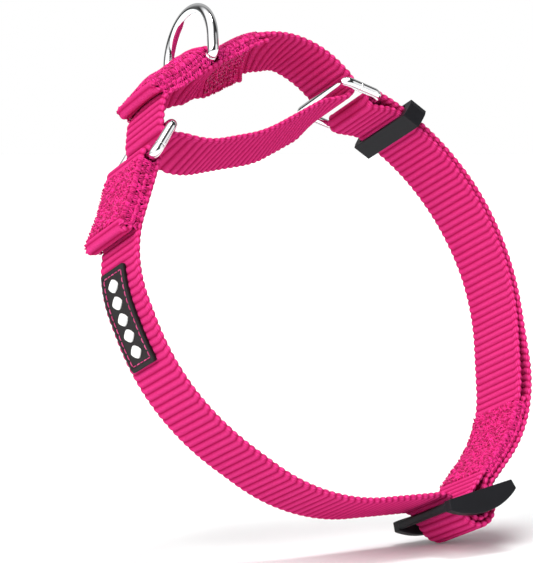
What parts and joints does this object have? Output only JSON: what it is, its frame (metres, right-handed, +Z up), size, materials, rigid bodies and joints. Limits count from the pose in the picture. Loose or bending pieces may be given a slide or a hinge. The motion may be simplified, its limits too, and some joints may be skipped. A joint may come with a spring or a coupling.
{
  "type": "martingale collar",
  "caption": "Martingale dog collar of ribbed webbing: neck strap with slider and keeper, control loop between two oblong rings, and a leash D-ring.",
  "frame": {"origin": "centre of the neck opening, halfway across the webbing", "axes": "+Y along the dog's neck, through the neck opening; +Z up through the control loop, with the leash D-ring on top; +X to the side that carries the keeper"},
  "size_m": [0.1456, 0.0338, 0.1959],
  "materials": {
    "pink_webbing": "ribbed nylon webbing, soft sheen",
    "pink_thread": "polyester sewing thread",
    "chrome_wire": "bright chrome-plated steel wire",
    "black_plastic": "satin moulded acetal",
    "black_rubber": "soft moulded rubber",
    "white_rubber": "raised white rubber"
  },
  "bodies": {
    "neck_strap": {"neck_strap": "pink_webbing", "ring_end_stitching": "pink_thread", "slider_end_stitching": "pink_thread", "slider": "black_plastic", "label_patch": "black_rubber", "label_motif": "white_rubber", "label_stitching": "pink_thread"},
    "left_ring": {"left_ring": "chrome_wire"},
    "control_loop": {"control_strap": "pink_webbing", "control_stitching_hem_side": "pink_thread", "control_stitching_crown_side": "pink_thread"},
    "d_ring": {"d_ring": "chrome_wire"},
    "right_ring": {"right_ring": "chrome_wire"},
    "keeper": {"keeper": "black_plastic"}
  },
  "joints": [
    {"name": "left_ring_swing", "type": "hinge", "parent": "neck_strap", "child": "left_ring", "pos_m": [-0.0285, 0, 0.0634], "axis": [0, 1, 0], "range_deg": [-12, 12]},
    {"name": "control_loop_swing", "type": "hinge", "parent": "left_ring", "child": "control_loop", "pos_m": [-0.0158, 0, 0.06827], "axis": [0, 1, 0], "range_deg": [-16, 16]},
    {"name": "right_ring_swing", "type": "hinge", "parent": "neck_strap", "child": "right_ring", "pos_m": [0.0623, 0, 0.0385], "axis": [0, 1, 0], "range_deg": [-13, 13]},
    {"name": "d_ring_swing", "type": "hinge", "parent": "control_loop", "child": "d_ring", "pos_m": [0.013, 0, 0.0799], "axis": [0, 1, 0], "range_deg": [-102, 42]},
    {"name": "keeper_travel", "type": "hinge", "parent": "neck_strap", "child": "keeper", "pos_m": [-0.0027, 0, -0.0034], "axis": [0, 1, 0], "range_deg": [0, 49]}
  ],
  "couplings": [
    {"joint": "control_loop_swing", "follows": "left_ring_swing", "ratio": -1.316},
    {"joint": "right_ring_swing", "follows": "left_ring_swing", "ratio": 1.0549}
  ]
}
